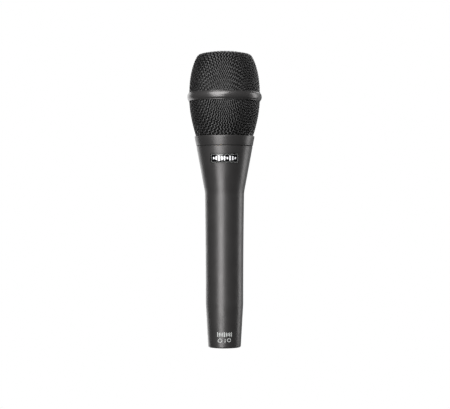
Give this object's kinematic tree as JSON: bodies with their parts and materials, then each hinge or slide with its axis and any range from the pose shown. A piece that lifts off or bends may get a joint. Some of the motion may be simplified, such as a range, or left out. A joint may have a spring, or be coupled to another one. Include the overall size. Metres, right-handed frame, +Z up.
{
  "type": "handheld vocal microphone",
  "caption": "Handheld vocal microphone: tapered painted handle, banded woven-wire grille, and a twin-diaphragm capsule inside.",
  "frame": {"origin": "centre of the tail's flat rim, on the microphone's axis", "axes": "+Z up the microphone's axis from the tail to the top of the grille; -Y is the way the nameplate faces; +X is to the right for someone who looks at the nameplate"},
  "size_m": [0.048, 0.048, 0.191],
  "materials": {
    "charcoal_paint": "satin metallic charcoal enamel",
    "black_mesh": "black-coated woven steel wire",
    "plate_black": "gloss black plate with silver marks",
    "black_plastic": "moulded black plastic",
    "white_plastic": "moulded white plastic",
    "rubber": "black elastomer",
    "foam": "open-cell black foam",
    "brass": "turned brass",
    "gold": "gold-plated",
    "steel": "plain steel",
    "board_green": "green solder resist",
    "capacitor_blue": "blue sleeve",
    "film_red": "dipped red resin",
    "lead_red": "red insulation",
    "lead_white": "white insulation",
    "lead_black": "black insulation"
  },
  "bodies": {
    "handle": {"handle_shell": "charcoal_paint", "nameplate": "plate_black", "connector_insert": "black_plastic", "contact_pin_1": "gold", "contact_pin_2": "gold", "contact_pin_3": "gold", "connector_lock_screw": "steel", "circuit_board": "board_green", "board_support_lower": "black_plastic", "board_support_upper": "black_plastic", "capsule_header": "white_plastic", "output_header": "white_plastic", "electrolytic_capacitor_1": "capacitor_blue", "electrolytic_capacitor_2": "capacitor_blue", "film_capacitor_1": "film_red", "film_capacitor_2": "film_red", "amplifier_chip": "black_plastic", "input_transistor": "steel", "bias_converter": "black_plastic", "damping_foam": "foam", "ground_spring": "brass", "output_lead_1": "lead_black", "output_lead_2": "lead_red", "output_lead_3": "lead_white", "neck_ring": "brass", "capsule_base": "black_plastic", "base_screw_1": "steel", "base_screw_2": "steel", "base_screw_3": "steel", "pattern_switch_body": "black_plastic", "shock_mount": "rubber", "front_lead": "lead_red", "ground_lead": "lead_black", "rear_lead": "lead_white"},
    "switch": {"pattern_switch_slider": "white_plastic"},
    "capsule": {"capsule_carrier": "black_plastic", "rear_clamp_ring": "brass", "rear_diaphragm": "gold", "rear_backplate": "brass", "capsule_spacer": "white_plastic", "front_backplate": "brass", "front_diaphragm": "gold", "front_clamp_ring": "brass", "clamp_screw_1": "steel", "clamp_screw_2": "steel", "clamp_screw_3": "steel", "clamp_screw_4": "steel", "clamp_screw_5": "steel", "clamp_screw_6": "steel"},
    "windscreen": {"windscreen_liner": "foam", "upper_screen": "steel", "lower_screen": "steel"},
    "seal": {"seal_ring": "rubber"},
    "grille": {"grille_collar": "charcoal_paint", "grille_band": "charcoal_paint", "upper_basket": "black_mesh", "lower_basket": "black_mesh"}
  },
  "joints": [
    {"name": "pattern_switch", "type": "slide", "parent": "handle", "child": "switch", "axis": [1, 0, 0], "range_m": [0, 0.002]},
    {"name": "capsule_float", "type": "slide", "parent": "handle", "child": "capsule", "axis": [0, 0, 1], "range_m": [-0.0008, 0.0008], "stiffness_N_per_m": 600, "springref_m": 0.00036, "deforming": ["shock_mount", "front_lead", "ground_lead", "rear_lead"]},
    {"name": "grille_lift", "type": "slide", "parent": "handle", "child": "windscreen", "axis": [0, 0, 1], "range_m": [0, 0.075]},
    {"name": "grille_rise", "type": "slide", "parent": "windscreen", "child": "seal", "axis": [0, 0, 1], "range_m": [0, 0.0038]},
    {"name": "grille_unscrew", "type": "hinge", "parent": "seal", "child": "grille", "pos_m": [0, 0, 0], "axis": [0, 0, 1], "range_deg": [0, 1080]}
  ],
  "couplings": [
    {"joint": "grille_rise", "follows": "grille_unscrew", "m_per_rad": 0.00019894}
  ]
}
